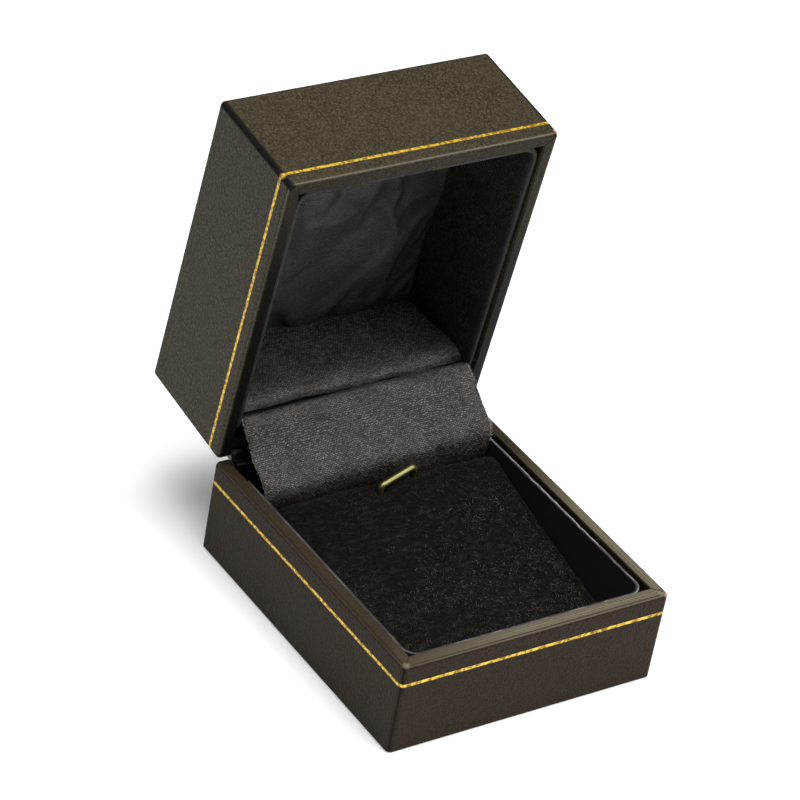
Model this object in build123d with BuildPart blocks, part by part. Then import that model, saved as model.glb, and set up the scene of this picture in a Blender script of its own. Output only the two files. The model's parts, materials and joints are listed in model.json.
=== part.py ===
from build123d import *
import os
from math import sqrt

os.makedirs("parts", exist_ok=True)

# A small presentation box for a pendant, shown with its lid standing open. Millimetres, +Z up.
# The short front face looks along -Y and the hinge runs along X at the back.
# Lid pieces are drawn with the lid shut, then swung open about the hinge as they are finished.

# Outside size, measured over the leatherette.
box_width = 54.0
box_length = 60.6
base_height = 17.9
lid_height = 23.2
closing_gap = 0.25
open_angle = 82.5

# Moulded shells and the leatherette glued over them.
shell_wall = 1.5
cover = 0.4
outer_corner = 0.9
rim_round = 0.8
turn_in = 5.0
turn_under = 6.0
mitre_width = 0.2
mitre_depth = 0.12
lid_top_round = 0.7

# Gold foil line stamped round each half, given by its centre's distance from the rim.
foil_width = 0.6
foil_depth = 0.12
base_foil_drop = 4.0
lid_foil_rise = 2.95

# Thin card liners bent round inside the walls.
card = 0.6
liner_gap = 0.5
liner_corner = 3.0
liner_short = 6.1
base_liner_drop = 0.8
lid_liner_recess = 0.95
glue_gap = 0.05

# Sloping velvet pad, between the front liner and the room that the hinge needs. The line of its top
# along the middle is a long shallow arc and a short one over its back edge. Its points are measured from
# the front edge or the back edge, and down from the rim of the base.
pad_front_gap = 0.3
pad_hinge_room = 12.7
pad_front_drop = 10.1
pad_middle_drop = 6.6
pad_middle_share = 0.468
pad_shoulder = [(2.2, 1.4), (0.7, 1.5), (0.0, 2.6)]
velvet = 0.7
foam = 1.6
pad_card_thickness = 0.8
pad_side_gap = 0.2

# How far that line sinks at stations out to each side, given as fractions of the half width.
pad_side = [(1.0, 1.4), (0.98, 0.8), (0.93, 0.4), (0.8, 0.15), (0.4, 0.0)]

# Gilt wire bridge at the head of the pad. The two ends of its bar are measured in front of the pad's
# back edge and up or down from the rim of the base.
bridge_wire = 1.2
bridge_left_x = -2.6
bridge_left_inset = 2.8
bridge_left_drop = 0.9
bridge_right_x = 5.4
bridge_right_inset = 1.0
bridge_right_rise = 0.2
bridge_bend = 0.9
bridge_leg = 6.5
bridge_hole_gap = 0.1

# Spring hinge: two leaves with rolled knuckles on one pin, and a bowed steel spring between them. Its
# axis lies just inside the back of the box and just above the rim of the base.
hinge_inset = 0.2
hinge_rise = 0.7
pin_radius = 0.5
running_clearance = 0.05
leaf_sheet = 0.5
knuckle_span = 48.0
knuckle_count = 5
knuckle_gap = 0.25
notch_clearance = 0.3
notch_end_gap = 0.4
leaf_height = 9.5
leaf_corner = 1.5
rivet_radius = 0.5
rivet_head_radius = 1.2
rivet_head_height = 0.4
rivet_spread = 38.0
rivet_drop = 6.6
rivet_depth = 0.9
pin_end_gap = 0.05
pin_head_radius = 0.8
pin_head_length = 0.25

# Bowed spring.
spring_width = 10.0
spring_sheet = 0.3
spring_hook_reach = 5.4
spring_bow = 6.0
hook_stand_off = 0.3
hook_length = 0.7
slot_height = 1.1
slot_side_gap = 0.3

# Satin in the lid.
satin = 0.35
lid_top_card = 0.5
lid_wadding_edge = 0.6
lid_puffs = [(-1.0, 0.1), (-0.5, 0.4), (0.0, 0.5), (0.5, 0.4), (1.0, 0.1)]
lid_satin_gap = 0.1
pillow_short = 7.6

# Panel that closes off the hinge inside the lid. Its card stands in front of the hinge, and its satin
# leaves the card near the rim. The points of the satin are measured in front of the hinge, and up from
# the rim of the lid, from the swell of its face down to the roll under its foot.
hinge_panel_set = 6.9
hinge_panel_rise = 1.75
hinge_panel_head = 7.25
hinge_panel_face = [(8.0, 10.85), (8.65, 2.85), (8.55, 1.55), (7.2, 1.35)]

# Satin flap that hangs from the lid and hides the hinge, drawn as it hangs with the lid open. Its front
# face at the left side, the middle and the right side, from the tuck behind the pad up to its top fold,
# is measured in front of the hinge and up from it.
flap_side_gap = 0.4
flap_left = [(12.15, -6.1), (11.9, -3.6), (9.7, -1.5), (5.5, 2.2), (1.8, 6.8)]
flap_middle = [(12.15, -6.1), (12.1, -3.0), (9.7, -0.2), (5.4, 3.6), (1.8, 7.8)]
flap_right = [(12.15, -6.1), (12.2, -2.0), (9.8, 1.6), (6.2, 4.6), (2.5, 8.0)]

# Sizes that follow from the ones above.
floor_top = cover + shell_wall
rim_width = shell_wall + 2 * cover
hinge_y = box_length / 2 - hinge_inset
hinge_z = base_height + hinge_rise
core_width = box_width - 2 * cover
core_length = box_length - 2 * cover
core_corner = outer_corner - cover
cavity_width = core_width - 2 * shell_wall
cavity_length = core_length - 2 * shell_wall
mouth_width = box_width - 2 * rim_width
mouth_length = box_length - 2 * rim_width
lid_rim = base_height + closing_gap
lid_top = lid_rim + lid_height
lid_ceiling = lid_top - floor_top
foil_inner_width = box_width - 2 * foil_depth
foil_inner_length = box_length - 2 * foil_depth
foil_inner_corner = outer_corner - foil_depth
base_foil_foot = base_height - base_foil_drop - foil_width / 2
lid_foil_foot = lid_rim + lid_foil_rise - foil_width / 2
sole_width = box_width - 2 * turn_under
sole_length = box_length - 2 * turn_under
liner_width = mouth_width - 2 * liner_gap
liner_front = -mouth_length / 2 + liner_gap
liner_middle = liner_front + mouth_length / 2
liner_back = hinge_y - liner_short
base_liner_top = base_height - base_liner_drop
lid_liner_foot = lid_rim + lid_liner_recess
lid_card_foot = lid_ceiling - lid_top_card
knuckle_radius = pin_radius + running_clearance + leaf_sheet
knuckle_length = (knuckle_span - (knuckle_count - 1) * knuckle_gap) / knuckle_count
knuckle_starts = [-knuckle_span / 2 + n * (knuckle_length + knuckle_gap) for n in range(knuckle_count)]
notch_width = knuckle_span + 2 * notch_end_gap
notch_depth = 3 * rim_width
base_notch_floor = hinge_z - knuckle_radius - notch_clearance
lid_notch_ceiling = hinge_z + knuckle_radius + notch_clearance
leaf_back = mouth_length / 2 - glue_gap
leaf_front = leaf_back - leaf_sheet
leaf_reach = hinge_y - leaf_front
base_leaf_top = hinge_z - knuckle_radius
lid_leaf_foot = hinge_z + knuckle_radius
leaf_bend = 0.8 * leaf_sheet
rivet_tip = cavity_length / 2 + rivet_depth
rivet_length = rivet_tip - leaf_front
base_rivet_height = base_leaf_top - rivet_drop
lid_rivet_height = lid_leaf_foot + rivet_drop
rivet_places = [-rivet_spread / 2, rivet_spread / 2]
pin_length = knuckle_span + 2 * pin_end_gap
hook_y = leaf_front - hook_stand_off
slot_width = spring_width + 2 * slot_side_gap
pad_width = liner_width - 2 * card - 2 * pad_side_gap
pad_front = liner_front + card + pad_front_gap
pad_back = hinge_y - pad_hinge_room
pad_middle = (pad_front + pad_back) / 2
pad_length = pad_back - pad_front
pad_crest = (pad_front + pad_middle_share * pad_length, base_height - pad_middle_drop)
pad_edge = [(pad_back - inset, base_height - drop) for inset, drop in pad_shoulder]
pad_top = [(pad_front, base_height - pad_front_drop), pad_crest] + pad_edge
pad_corner = liner_corner - card - pad_side_gap
pad_stations = [(-station, sag) for station, sag in pad_side] + pad_side[::-1]
pad_straight = [(-1.0, 0.0), (1.0, 0.0)]
pad_steps = [
    (0, 0, pad_stations),
    (velvet, velvet, pad_stations),
    (velvet + foam, velvet, pad_straight),
    (velvet + foam + pad_card_thickness, velvet + pad_card_thickness, pad_straight),
]
bridge_radius = bridge_wire / 2
bridge_left = (bridge_left_x, pad_back - bridge_left_inset, base_height - bridge_left_drop)
bridge_right = (bridge_right_x, pad_back - bridge_right_inset, base_height + bridge_right_rise)
bridge_foot = bridge_left[2] - bridge_leg
panel_width = liner_width - 2 * card - 2 * satin - 2 * lid_satin_gap
panel_card_y = hinge_y - hinge_panel_set + card / 2
panel_card_foot = lid_rim + hinge_panel_rise
panel_head = (hinge_y - hinge_panel_head, lid_card_foot - satin)
panel_line = [panel_head] + [(hinge_y - front, lid_rim + rise) for front, rise in hinge_panel_face]
pillow_front = liner_front + card + satin + lid_satin_gap
pillow_back = hinge_y - pillow_short
pillow_middle = (pillow_front + pillow_back) / 2
pillow_length = pillow_back - pillow_front
pillow_corner = liner_corner - card - satin - lid_satin_gap
pillow_steps = [(lid_wadding_edge + satin, 0), (lid_wadding_edge, satin)]
flap_width = liner_width - 2 * card - 2 * flap_side_gap
flap_shift = satin / sqrt(2)
flap_stations = [(-flap_width / 2, flap_left), (0, flap_middle), (flap_width / 2, flap_right)]

# A box or a rod set by the middle of its underside, and a box set by the middle of its top.
standing = (Align.CENTER, Align.CENTER, Align.MIN)
hanging = (Align.CENTER, Align.CENTER, Align.MAX)

# The swing that takes a lid piece from shut to standing open.
lid_opened = Pos(0, hinge_y, hinge_z) * Rot(-open_angle, 0, 0) * Pos(0, -hinge_y, -hinge_z)

# The mitred folds of the leatherette at the four corners of a rim.
corner_x = (box_width - rim_width) / 2
corner_y = (box_length - rim_width) / 2
mitres = [Location((a * corner_x, b * corner_y, 0), (0, 0, 45 * a * b)) for a in (-1, 1) for b in (-1, 1)]
mitre_length = 2 * rim_width

# The block that the base's leatherette is wrapped round.
with BuildPart() as base_core:
    with BuildSketch(Plane.XY.offset(cover)):
        RectangleRounded(core_width, core_length, core_corner)
    extrude(amount=base_height - 2 * cover)
    fillet(base_core.faces().sort_by(Axis.Z)[-1].edges(), rim_round - cover)

# The block that the lid's leatherette is wrapped round.
with BuildPart() as lid_core:
    with BuildSketch(Plane.XY.offset(lid_rim + cover)):
        RectangleRounded(core_width, core_length, core_corner)
    extrude(amount=lid_height - 2 * cover)
    fillet(lid_core.faces().sort_by(Axis.Z)[-1].edges(), lid_top_round - cover)
    fillet(lid_core.faces().sort_by(Axis.Z)[0].edges(), rim_round - cover)

# Moulded base shell: a floor and four walls, with a low notch for the hinge knuckles.
with BuildPart() as base_shell:
    add(base_core.part)
    with Locations((0, 0, floor_top)):
        Box(cavity_width, cavity_length, base_height, align=standing, mode=Mode.SUBTRACT)
    with Locations((0, box_length / 2, base_notch_floor)):
        Box(notch_width, notch_depth, base_height, align=standing, mode=Mode.SUBTRACT)
    with Locations(*[Location((x, rivet_tip, base_rivet_height), (90, 0, 0)) for x in rivet_places]):
        Cylinder(rivet_radius, rivet_length, align=standing, mode=Mode.SUBTRACT)
base_shell.part.label = "base_shell"
export_step(base_shell.part, "parts/base_shell.step")

# Leatherette of the base: over the walls and rim, turned in at the mouth and turned under the floor.
with BuildPart() as base_wrap:
    with BuildSketch(Plane.XY):
        RectangleRounded(box_width, box_length, outer_corner)
    extrude(amount=base_height)
    fillet(base_wrap.faces().sort_by(Axis.Z)[-1].edges(), rim_round)
    add(base_core.part, mode=Mode.SUBTRACT)
    with Locations((0, 0, base_height)):
        Box(mouth_width, mouth_length, 2 * cover, align=hanging, mode=Mode.SUBTRACT)
    with BuildSketch(Plane.XY.offset(base_height - turn_in)):
        Rectangle(cavity_width, cavity_length)
        Rectangle(mouth_width, mouth_length, mode=Mode.SUBTRACT)
    extrude(amount=turn_in - cover)
    Box(sole_width, sole_length, cover, align=standing, mode=Mode.SUBTRACT)
    with BuildSketch(Plane.XY.offset(base_foil_foot)):
        Rectangle(2 * box_width, 2 * box_length)
        RectangleRounded(foil_inner_width, foil_inner_length, foil_inner_corner, mode=Mode.SUBTRACT)
    extrude(amount=foil_width, mode=Mode.SUBTRACT)
    with Locations((0, box_length / 2, base_notch_floor)):
        Box(notch_width, notch_depth, base_height, align=standing, mode=Mode.SUBTRACT)
    with Locations(*[Pos(0, 0, base_height) * fold for fold in mitres]):
        Box(mitre_length, mitre_width, 2 * mitre_depth, mode=Mode.SUBTRACT)
base_wrap.part.label = "base_wrap"
export_step(base_wrap.part, "parts/base_wrap.step")

# Gold foil line round the base.
with BuildPart() as base_gold_line:
    with BuildSketch(Plane.XY.offset(base_foil_foot)):
        RectangleRounded(box_width, box_length, outer_corner)
        RectangleRounded(foil_inner_width, foil_inner_length, foil_inner_corner, mode=Mode.SUBTRACT)
    extrude(amount=foil_width)
base_gold_line.part.label = "base_gold_line"
export_step(base_gold_line.part, "parts/base_gold_line.step")

# Paper sheet glued to the underside, level with the turned-under edge.
with BuildPart() as base_sole:
    Box(sole_width - 2 * glue_gap, sole_length - 2 * glue_gap, cover, align=standing)
base_sole.part.label = "base_sole"
export_step(base_sole.part, "parts/base_sole.step")

# Card strip bent round the inside of the base: two sides and a front, with rounded corners.
with BuildPart() as base_liner:
    with BuildSketch(Plane.XY.offset(floor_top)):
        with Locations((0, liner_middle)):
            RectangleRounded(liner_width, mouth_length, liner_corner)
            RectangleRounded(liner_width - 2 * card, mouth_length - 2 * card, liner_corner - card, mode=Mode.SUBTRACT)
        with Locations((0, liner_back)):
            Rectangle(box_width, box_length, align=(Align.CENTER, Align.MIN), mode=Mode.SUBTRACT)
    extrude(amount=base_liner_top - floor_top)
base_liner.part.label = "base_liner"
export_step(base_liner.part, "parts/base_liner.step")

# Four nested wedges, each one layer inside the last, that the layers of the pad are cut from. The outer
# two sink towards the sides of the pad, and the two that make the card former are straight across.
pad_wedges = []
for drop, inset, stations in pad_steps:
    squeeze = 1 - 2 * inset / pad_length
    with BuildPart() as wedge:
        for station, sag in stations:
            crown = [(pad_middle + (y - pad_middle) * squeeze, z - sag - drop) for y, z in pad_top]
            with BuildSketch(Plane.YZ.offset(station * (pad_width / 2 - inset))):
                with BuildLine():
                    slope = ThreePointArc(crown[0], crown[1], crown[2])
                    shoulder = ThreePointArc(crown[2], crown[3], crown[4])
                    back = Line(shoulder @ 1, (pad_back - inset, floor_top))
                    sole = Line(back @ 1, (pad_front + inset, floor_top))
                    Line(sole @ 1, slope @ 0)
                make_face()
        loft(ruled=True)
        with BuildSketch(Plane.XY.offset(floor_top)):
            with Locations((0, pad_middle)):
                RectangleRounded(pad_width - 2 * inset, pad_length - 2 * inset, pad_corner - inset)
        extrude(amount=base_height, mode=Mode.INTERSECT)
    pad_wedges.append(wedge.part)

# The two holes that the legs of the wire bridge pass down through.
with BuildPart() as bridge_holes:
    with Locations((bridge_left[0], bridge_left[1], bridge_foot), (bridge_right[0], bridge_right[1], bridge_foot)):
        Cylinder(bridge_radius + bridge_hole_gap, bridge_leg, align=standing)

# Velvet cover of the sloping pad.
with BuildPart() as velvet_pad:
    add(pad_wedges[0])
    add(pad_wedges[1], mode=Mode.SUBTRACT)
    add(bridge_holes.part, mode=Mode.SUBTRACT)
velvet_pad.part.label = "velvet_pad"
export_step(velvet_pad.part, "parts/velvet_pad.step")

# Thin foam under the velvet.
with BuildPart() as pad_foam:
    add(pad_wedges[1])
    add(pad_wedges[2], mode=Mode.SUBTRACT)
    add(bridge_holes.part, mode=Mode.SUBTRACT)
pad_foam.part.label = "pad_foam"
export_step(pad_foam.part, "parts/pad_foam.step")

# Folded card former that holds the slope.
with BuildPart() as pad_former:
    add(pad_wedges[2])
    add(pad_wedges[3], mode=Mode.SUBTRACT)
    add(bridge_holes.part, mode=Mode.SUBTRACT)
pad_former.part.label = "pad_former"
export_step(pad_former.part, "parts/pad_former.step")

# Gilt wire bridge that the pendant hangs from.
with BuildPart() as pendant_bridge:
    with BuildLine() as bridge_path:
        FilletPolyline(
            (bridge_left[0], bridge_left[1], bridge_foot),
            bridge_left,
            bridge_right,
            (bridge_right[0], bridge_right[1], bridge_foot),
            radius=bridge_bend,
        )
    with BuildSketch(Plane(origin=bridge_path.line @ 0, z_dir=bridge_path.line % 0)):
        Circle(bridge_radius)
    sweep()
pendant_bridge.part.label = "pendant_bridge"
export_step(pendant_bridge.part, "parts/pendant_bridge.step")

# Leaf of the hinge on the base: a flat plate whose top turns back into three rolled knuckles.
with BuildPart() as hinge_leaf_base:
    with Locations((0, leaf_front + leaf_sheet / 2, base_leaf_top)):
        Box(knuckle_span, leaf_sheet, leaf_height, align=hanging)
    fillet(hinge_leaf_base.faces().sort_by(Axis.Z)[0].edges().filter_by(Axis.Y), leaf_corner)
    for start in knuckle_starts[0::2]:
        with BuildSketch(Plane.YZ.offset(start)):
            with Locations((hinge_y, hinge_z)):
                Circle(knuckle_radius)
            with Locations((leaf_front, base_leaf_top)):
                Rectangle(leaf_reach, leaf_sheet, align=(Align.MIN, Align.MIN))
        extrude(amount=knuckle_length)
    bends = hinge_leaf_base.edges().filter_by(Axis.X).group_by(Axis.Y)[0].group_by(Axis.Z)[-1]
    fillet(bends, leaf_bend)
    with Locations(Location((0, hinge_y, hinge_z), (0, 90, 0))):
        Cylinder(pin_radius + running_clearance, 2 * knuckle_span, mode=Mode.SUBTRACT)
    with Locations((0, leaf_front, hinge_z - spring_hook_reach)):
        Box(slot_width, 4 * leaf_sheet, slot_height, mode=Mode.SUBTRACT)
    with Locations(*[Location((x, rivet_tip, base_rivet_height), (90, 0, 0)) for x in rivet_places]):
        Cylinder(rivet_radius, 2 * rivet_length, align=standing, mode=Mode.SUBTRACT)
hinge_leaf_base.part.label = "hinge_leaf_base"
export_step(hinge_leaf_base.part, "parts/hinge_leaf_base.step")

# Two rivets that hold the base leaf, set blind in the shell wall.
with BuildPart() as leaf_rivets_base:
    with Locations(*[Location((x, rivet_tip, base_rivet_height), (90, 0, 0)) for x in rivet_places]):
        Cylinder(rivet_radius, rivet_length, align=standing)
    with Locations(*[Location((x, leaf_front, base_rivet_height), (90, 0, 0)) for x in rivet_places]):
        Cylinder(rivet_head_radius, rivet_head_height, align=standing)
leaf_rivets_base.part.label = "leaf_rivets_base"
export_step(leaf_rivets_base.part, "parts/leaf_rivets_base.step")

# Hinge pin with a small head at each end.
with BuildPart() as hinge_pin:
    with Locations(Location((0, hinge_y, hinge_z), (0, 90, 0))):
        Cylinder(pin_radius, pin_length)
    with Locations(
        Location((pin_length / 2, hinge_y, hinge_z), (0, 90, 0)),
        Location((-pin_length / 2, hinge_y, hinge_z), (0, -90, 0)),
    ):
        Cylinder(pin_head_radius, pin_head_length, align=standing)
hinge_pin.part.label = "hinge_pin"
export_step(hinge_pin.part, "parts/hinge_pin.step")

# Bowed steel spring that snaps the lid open and shut, hooked in a slot of each leaf.
lower_tail = (hook_y + hook_length, hinge_z - spring_hook_reach)
lower_hook = (hook_y, hinge_z - spring_hook_reach)
upper_hook_point = (lid_opened * Pos(0, hook_y, hinge_z + spring_hook_reach)).position
upper_tail_point = (lid_opened * Pos(0, hook_y + hook_length, hinge_z + spring_hook_reach)).position
upper_hook = (upper_hook_point.Y, upper_hook_point.Z)
upper_tail = (upper_tail_point.Y, upper_tail_point.Z)
chord = Vector(upper_hook[0] - lower_hook[0], upper_hook[1] - lower_hook[1])
chord_middle = Vector(lower_hook[0], lower_hook[1]) + chord * 0.5
bow_top = chord_middle + Vector(-chord.Y, chord.X).normalized() * spring_bow
with BuildPart() as snap_spring:
    with BuildSketch(Plane.YZ.offset(-spring_width / 2)):
        with BuildLine():
            Line(lower_tail, lower_hook)
            ThreePointArc(lower_hook, (bow_top.X, bow_top.Y), upper_hook)
            Line(upper_hook, upper_tail)
        trace(line_width=spring_sheet)
    extrude(amount=spring_width)
snap_spring.part.label = "snap_spring"
export_step(snap_spring.part, "parts/snap_spring.step")

# Satin flap over the hinge, hanging from the lid's back panel and tucked in behind the pad.
with BuildPart() as hinge_flap:
    for station, face in flap_stations:
        front = [(hinge_y - reach, hinge_z + rise) for reach, rise in face]
        behind = [(y + flap_shift, z - flap_shift) for y, z in front]
        with BuildSketch(Plane.YZ.offset(station)):
            with BuildLine():
                ThreePointArc(front[0], front[1], front[2])
                ThreePointArc(front[2], front[3], front[4])
                Line(front[4], behind[4])
                ThreePointArc(behind[4], behind[3], behind[2])
                ThreePointArc(behind[2], behind[1], behind[0])
                Line(behind[0], front[0])
            make_face()
    loft()
hinge_flap.part.label = "hinge_flap"
export_step(hinge_flap.part, "parts/hinge_flap.step")

# Moulded lid shell, drawn mouth down over the base.
with BuildPart() as lid_shell:
    add(lid_core.part)
    with Locations((0, 0, lid_ceiling)):
        Box(cavity_width, cavity_length, lid_height, align=hanging, mode=Mode.SUBTRACT)
    with Locations((0, box_length / 2, lid_notch_ceiling)):
        Box(notch_width, notch_depth, lid_height, align=hanging, mode=Mode.SUBTRACT)
    with Locations(*[Location((x, rivet_tip, lid_rivet_height), (90, 0, 0)) for x in rivet_places]):
        Cylinder(rivet_radius, rivet_length, align=standing, mode=Mode.SUBTRACT)
lid_shell.part.locate(lid_opened)
lid_shell.part.label = "lid_shell"
export_step(lid_shell.part, "parts/lid_shell.step")

# Leatherette of the lid: over the top, walls and rim, and turned in at the mouth.
with BuildPart() as lid_wrap:
    with BuildSketch(Plane.XY.offset(lid_rim)):
        RectangleRounded(box_width, box_length, outer_corner)
    extrude(amount=lid_height)
    fillet(lid_wrap.faces().sort_by(Axis.Z)[-1].edges(), lid_top_round)
    fillet(lid_wrap.faces().sort_by(Axis.Z)[0].edges(), rim_round)
    add(lid_core.part, mode=Mode.SUBTRACT)
    with Locations((0, 0, lid_rim)):
        Box(mouth_width, mouth_length, 2 * cover, align=standing, mode=Mode.SUBTRACT)
    with BuildSketch(Plane.XY.offset(lid_rim + cover)):
        Rectangle(cavity_width, cavity_length)
        Rectangle(mouth_width, mouth_length, mode=Mode.SUBTRACT)
    extrude(amount=turn_in - cover)
    with BuildSketch(Plane.XY.offset(lid_foil_foot)):
        Rectangle(2 * box_width, 2 * box_length)
        RectangleRounded(foil_inner_width, foil_inner_length, foil_inner_corner, mode=Mode.SUBTRACT)
    extrude(amount=foil_width, mode=Mode.SUBTRACT)
    with Locations((0, box_length / 2, lid_notch_ceiling)):
        Box(notch_width, notch_depth, lid_height, align=hanging, mode=Mode.SUBTRACT)
    with Locations(*[Pos(0, 0, lid_rim) * fold for fold in mitres]):
        Box(mitre_length, mitre_width, 2 * mitre_depth, mode=Mode.SUBTRACT)
lid_wrap.part.locate(lid_opened)
lid_wrap.part.label = "lid_wrap"
export_step(lid_wrap.part, "parts/lid_wrap.step")

# Gold foil line round the lid.
with BuildPart() as lid_gold_line:
    with BuildSketch(Plane.XY.offset(lid_foil_foot)):
        RectangleRounded(box_width, box_length, outer_corner)
        RectangleRounded(foil_inner_width, foil_inner_length, foil_inner_corner, mode=Mode.SUBTRACT)
    extrude(amount=foil_width)
lid_gold_line.part.locate(lid_opened)
lid_gold_line.part.label = "lid_gold_line"
export_step(lid_gold_line.part, "parts/lid_gold_line.step")

# Card strip bent round the inside of the lid, as in the base.
with BuildPart() as lid_liner:
    with BuildSketch(Plane.XY.offset(lid_liner_foot)):
        with Locations((0, liner_middle)):
            RectangleRounded(liner_width, mouth_length, liner_corner)
            RectangleRounded(liner_width - 2 * card, mouth_length - 2 * card, liner_corner - card, mode=Mode.SUBTRACT)
        with Locations((0, liner_back)):
            Rectangle(box_width, box_length, align=(Align.CENTER, Align.MIN), mode=Mode.SUBTRACT)
    extrude(amount=lid_card_foot - lid_liner_foot)
lid_liner.part.locate(lid_opened)
lid_liner.part.label = "lid_liner"
export_step(lid_liner.part, "parts/lid_liner.step")

# Satin glued to the inside of that strip.
with BuildPart() as lid_wall_satin:
    with BuildSketch(Plane.XY.offset(lid_liner_foot)):
        with Locations((0, liner_middle)):
            RectangleRounded(liner_width - 2 * card, mouth_length - 2 * card, liner_corner - card)
            RectangleRounded(
                liner_width - 2 * card - 2 * satin,
                mouth_length - 2 * card - 2 * satin,
                liner_corner - card - satin,
                mode=Mode.SUBTRACT,
            )
        with Locations((0, liner_back)):
            Rectangle(box_width, box_length, align=(Align.CENTER, Align.MIN), mode=Mode.SUBTRACT)
    extrude(amount=lid_card_foot - lid_liner_foot)
lid_wall_satin.part.locate(lid_opened)
lid_wall_satin.part.label = "lid_wall_satin"
export_step(lid_wall_satin.part, "parts/lid_wall_satin.step")

# Card behind the padded top of the lid.
with BuildPart() as lid_card:
    with Locations((0, 0, lid_ceiling)):
        Box(cavity_width - 2 * glue_gap, cavity_length - 2 * glue_gap, lid_top_card, align=hanging)
lid_card.part.locate(lid_opened)
lid_card.part.label = "lid_card"
export_step(lid_card.part, "parts/lid_card.step")

# Two nested pillows, the outside and the inside of the satin that covers the wadding.
lid_pillows = []
for depth, inset in pillow_steps:
    half_length = pillow_length / 2 - inset
    with BuildPart() as pillow:
        for station, puff in lid_puffs:
            with BuildSketch(Plane.YZ.offset(station * (panel_width / 2 - inset))):
                with BuildLine():
                    under = ThreePointArc(
                        (pillow_middle - half_length, lid_card_foot - depth),
                        (pillow_middle, lid_card_foot - depth - puff),
                        (pillow_middle + half_length, lid_card_foot - depth),
                    )
                    back = Line(under @ 1, (pillow_middle + half_length, lid_card_foot))
                    top = Line(back @ 1, (pillow_middle - half_length, lid_card_foot))
                    Line(top @ 1, under @ 0)
                make_face()
        loft()
        with BuildSketch(Plane.XY.offset(lid_card_foot)):
            with Locations((0, pillow_middle)):
                RectangleRounded(panel_width - 2 * inset, pillow_length - 2 * inset, pillow_corner - inset)
        extrude(amount=-lid_height / 2, mode=Mode.INTERSECT)
    lid_pillows.append(pillow.part)

# Wadding that puffs the top of the lid.
with BuildPart() as lid_wadding:
    add(lid_pillows[1])
lid_wadding.part.locate(lid_opened)
lid_wadding.part.label = "lid_wadding"
export_step(lid_wadding.part, "parts/lid_wadding.step")

# Satin over that wadding.
with BuildPart() as lid_top_satin:
    add(lid_pillows[0])
    add(lid_pillows[1], mode=Mode.SUBTRACT)
lid_top_satin.part.locate(lid_opened)
lid_top_satin.part.label = "lid_top_satin"
export_step(lid_top_satin.part, "parts/lid_top_satin.step")

# Card of the panel that closes off the hinge inside the lid.
with BuildPart() as lid_hinge_card:
    with Locations((0, panel_card_y, panel_card_foot)):
        Box(panel_width, card, lid_card_foot - panel_card_foot, align=standing)
lid_hinge_card.part.locate(lid_opened)
lid_hinge_card.part.label = "lid_hinge_card"
export_step(lid_hinge_card.part, "parts/lid_hinge_card.step")

# Satin over that card, standing proud of it near the rim and rolled under its foot.
with BuildPart() as lid_hinge_satin:
    with BuildSketch(Plane.YZ.offset(-panel_width / 2)):
        with BuildLine():
            ThreePointArc(panel_line[0], panel_line[1], panel_line[2])
            ThreePointArc(panel_line[2], panel_line[3], panel_line[4])
        trace(line_width=satin)
    extrude(amount=panel_width)
lid_hinge_satin.part.locate(lid_opened)
lid_hinge_satin.part.label = "lid_hinge_satin"
export_step(lid_hinge_satin.part, "parts/lid_hinge_satin.step")

# Leaf of the hinge on the lid, with two knuckles between the base's three.
with BuildPart() as hinge_leaf_lid:
    with Locations((0, leaf_front + leaf_sheet / 2, lid_leaf_foot)):
        Box(knuckle_span, leaf_sheet, leaf_height, align=standing)
    fillet(hinge_leaf_lid.faces().sort_by(Axis.Z)[-1].edges().filter_by(Axis.Y), leaf_corner)
    for start in knuckle_starts[1::2]:
        with BuildSketch(Plane.YZ.offset(start)):
            with Locations((hinge_y, hinge_z)):
                Circle(knuckle_radius)
            with Locations((leaf_front, lid_leaf_foot)):
                Rectangle(leaf_reach, leaf_sheet, align=(Align.MIN, Align.MAX))
        extrude(amount=knuckle_length)
    bends = hinge_leaf_lid.edges().filter_by(Axis.X).group_by(Axis.Y)[0].group_by(Axis.Z)[0]
    fillet(bends, leaf_bend)
    with Locations(Location((0, hinge_y, hinge_z), (0, 90, 0))):
        Cylinder(pin_radius + running_clearance, 2 * knuckle_span, mode=Mode.SUBTRACT)
    with Locations((0, leaf_front, hinge_z + spring_hook_reach)):
        Box(slot_width, 4 * leaf_sheet, slot_height, mode=Mode.SUBTRACT)
    with Locations(*[Location((x, rivet_tip, lid_rivet_height), (90, 0, 0)) for x in rivet_places]):
        Cylinder(rivet_radius, 2 * rivet_length, align=standing, mode=Mode.SUBTRACT)
hinge_leaf_lid.part.locate(lid_opened)
hinge_leaf_lid.part.label = "hinge_leaf_lid"
export_step(hinge_leaf_lid.part, "parts/hinge_leaf_lid.step")

# Two rivets that hold the lid leaf.
with BuildPart() as leaf_rivets_lid:
    with Locations(*[Location((x, rivet_tip, lid_rivet_height), (90, 0, 0)) for x in rivet_places]):
        Cylinder(rivet_radius, rivet_length, align=standing)
    with Locations(*[Location((x, leaf_front, lid_rivet_height), (90, 0, 0)) for x in rivet_places]):
        Cylinder(rivet_head_radius, rivet_head_height, align=standing)
leaf_rivets_lid.part.locate(lid_opened)
leaf_rivets_lid.part.label = "leaf_rivets_lid"
export_step(leaf_rivets_lid.part, "parts/leaf_rivets_lid.step")
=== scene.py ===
# %% [markdown]
# # A pendant box, dressed for its picture
# The construction model already holds every card, shell, leaf and pin of this box at its real size. This
# lesson adds what the eye reads: grained leatherette, stamped foil, velvet with its nap, and satin that
# puffs, folds and frays. The model is loaded once and nothing in it is moved.

# %% Load the construction model
import json
from functools import partial
from math import cos, exp, pi, radians, sin
from random import Random

import bpy
from mathutils import Matrix, Vector, noise
from mathutils.bvhtree import BVHTree


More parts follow.
